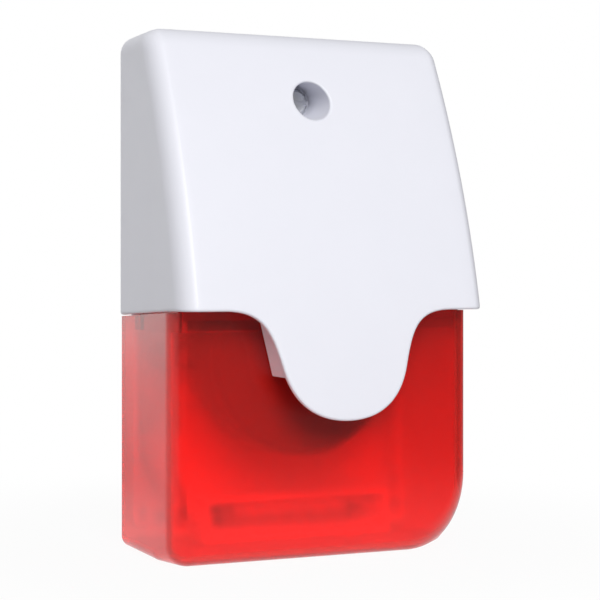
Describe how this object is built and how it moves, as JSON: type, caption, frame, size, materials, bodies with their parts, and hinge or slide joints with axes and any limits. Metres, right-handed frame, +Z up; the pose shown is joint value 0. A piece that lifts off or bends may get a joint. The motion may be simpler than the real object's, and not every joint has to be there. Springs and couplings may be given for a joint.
{
  "type": "alarm siren",
  "caption": "Wall-mounted alarm siren with a white wedge-shaped cover, a hooded sound outlet and a red strobe lens, over a screwed-on base.",
  "frame": {"origin": "middle of the base plate's wall face, at half the siren's height", "axes": "+Y into the wall, +Z up, +X to the right as seen by someone facing the siren"},
  "size_m": [0.0756, 0.048, 0.122],
  "materials": {
    "white_plastic": "satin",
    "red_lens": "clear gloss",
    "dark_plastic": "matt",
    "zinc_steel": "zinc plated",
    "brass": "plain",
    "ceramic": "silvered",
    "board": "lacquered",
    "terminal_plastic": "satin",
    "ferrite": "matt",
    "winding_tape": "gloss",
    "sleeve": "gloss",
    "mirror": "metallised",
    "glass": "clear",
    "red_lead": "satin",
    "black_lead": "satin"
  },
  "bodies": {
    "base": {"base_plate": "white_plastic", "board_screw_1": "zinc_steel", "board_screw_2": "zinc_steel", "board_screw_3": "zinc_steel", "board_screw_4": "zinc_steel", "circuit_board": "board", "driver_chip": "dark_plastic", "filter_capacitor": "sleeve", "flash_tube": "glass", "flash_tube_cap_left": "zinc_steel", "flash_tube_cap_right": "zinc_steel", "horn_body": "dark_plastic", "horn_screw_left": "zinc_steel", "horn_screw_right": "zinc_steel", "piezo_ceramic": "ceramic", "piezo_clamp_ring": "dark_plastic", "piezo_diaphragm": "brass", "piezo_lead_black": "black_lead", "piezo_lead_red": "red_lead", "reflector_screw_left": "zinc_steel", "reflector_screw_right": "zinc_steel", "strobe_capacitor": "sleeve", "strobe_lead_left": "black_lead", "strobe_lead_right": "red_lead", "strobe_reflector": "mirror", "switching_transistor": "dark_plastic", "tamper_switch": "dark_plastic", "terminal_block": "terminal_plastic", "terminal_screw_1": "zinc_steel", "terminal_screw_2": "zinc_steel", "terminal_screw_3": "zinc_steel", "terminal_screw_4": "zinc_steel", "transformer_core": "ferrite", "transformer_winding": "winding_tape", "trigger_coil": "winding_tape"},
    "cover": {"front_cover": "white_plastic", "strobe_lens": "red_lens", "screw_retainer": "dark_plastic", "lens_screw_left": "zinc_steel", "lens_screw_right": "zinc_steel"},
    "cover_screw": {"cover_screw": "zinc_steel"},
    "tamper_plunger": {"tamper_plunger": "white_plastic"}
  },
  "joints": [
    {"name": "cover_tilt", "type": "hinge", "parent": "base", "child": "cover", "pos_m": [0, -0.0025, -0.06], "axis": [1, 0, 0], "range_deg": [0, 40]},
    {"name": "cover_screw_turn", "type": "hinge", "parent": "cover", "child": "cover_screw", "pos_m": [0, -0.0163, 0.045], "axis": [0, 1, 0], "continuous": true},
    {"name": "tamper_press", "type": "slide", "parent": "base", "child": "tamper_plunger", "axis": [0, 1, 0], "range_m": [0, 0.002], "stiffness_N_per_m": 300}
  ]
}
